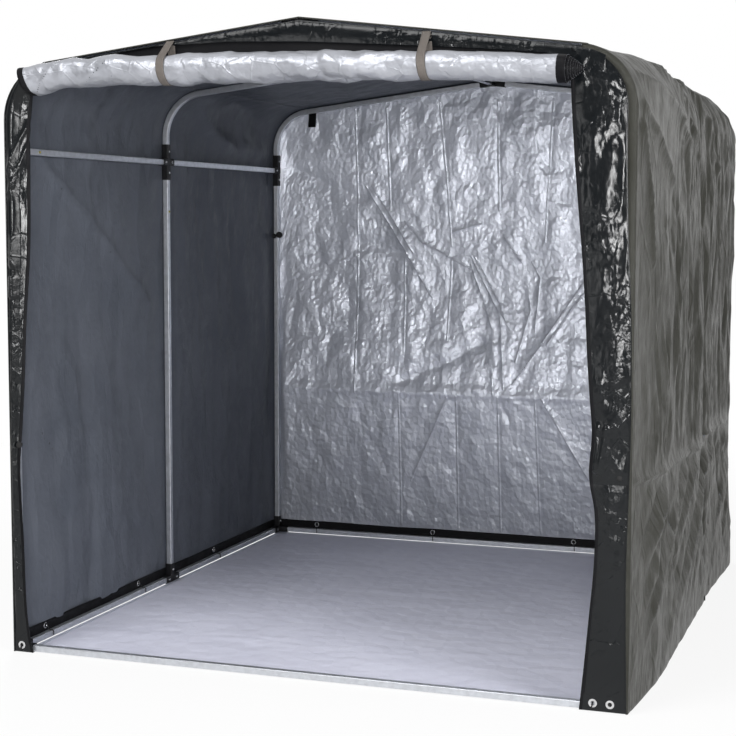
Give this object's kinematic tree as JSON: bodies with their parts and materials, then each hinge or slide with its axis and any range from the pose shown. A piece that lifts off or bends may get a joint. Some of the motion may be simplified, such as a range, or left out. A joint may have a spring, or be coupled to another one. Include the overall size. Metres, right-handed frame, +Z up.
{
  "type": "bike shelter tent",
  "caption": "Free-standing bike shelter: square-tube arches under a dark tarpaulin cover with a silver lining, floor sheet and a door rolled up over the open front.",
  "frame": {"origin": "middle of the floor at ground level, midway between the side walls and between the front flaps and the back wall", "axes": "+X to the right as seen from the open front, +Y from the front to the back wall, +Z up"},
  "size_m": [2.1, 2.4039, 2.085],
  "materials": {
    "frame_tube": "satin galvanised",
    "connector": "moulded",
    "cover": "coated woven tarpaulin",
    "hem": "coated woven tarpaulin",
    "floor": "smooth coated sheet",
    "door": "silver coated tarpaulin",
    "webbing": "woven webbing",
    "eyelet": "plated"
  },
  "bodies": {
    "root": {"front_left_post": "frame_tube", "front_right_post": "frame_tube", "middle_left_post": "frame_tube", "middle_right_post": "frame_tube", "rear_left_post": "frame_tube", "rear_right_post": "frame_tube", "front_left_eave_tube": "frame_tube", "front_right_eave_tube": "frame_tube", "middle_left_eave_tube": "frame_tube", "middle_right_eave_tube": "frame_tube", "rear_left_eave_tube": "frame_tube", "rear_right_eave_tube": "frame_tube", "front_rafters": "frame_tube", "middle_rafters": "frame_tube", "rear_rafters": "frame_tube", "ridge_purlins": "frame_tube", "left_side_rails": "frame_tube", "right_side_rails": "frame_tube", "front_ground_bar": "frame_tube", "rear_ground_bar": "frame_tube", "left_ground_bars": "frame_tube", "right_ground_bars": "frame_tube", "ridge_connectors": "connector", "left_side_connectors": "connector", "right_side_connectors": "connector", "left_foot_connectors": "connector", "right_foot_connectors": "connector", "left_wall": "cover", "right_wall": "cover", "back_wall": "cover", "left_eave_cover": "cover", "right_eave_cover": "cover", "left_roof": "cover", "right_roof": "cover", "front_valance": "cover", "left_front_flap": "cover", "right_front_flap": "cover", "left_hem": "hem", "right_hem": "hem", "back_hem": "hem", "floor_sheet": "floor", "door_roll": "door", "left_door_strap": "webbing", "right_door_strap": "webbing", "flap_eyelets": "eyelet"}
  },
  "joints": []
}
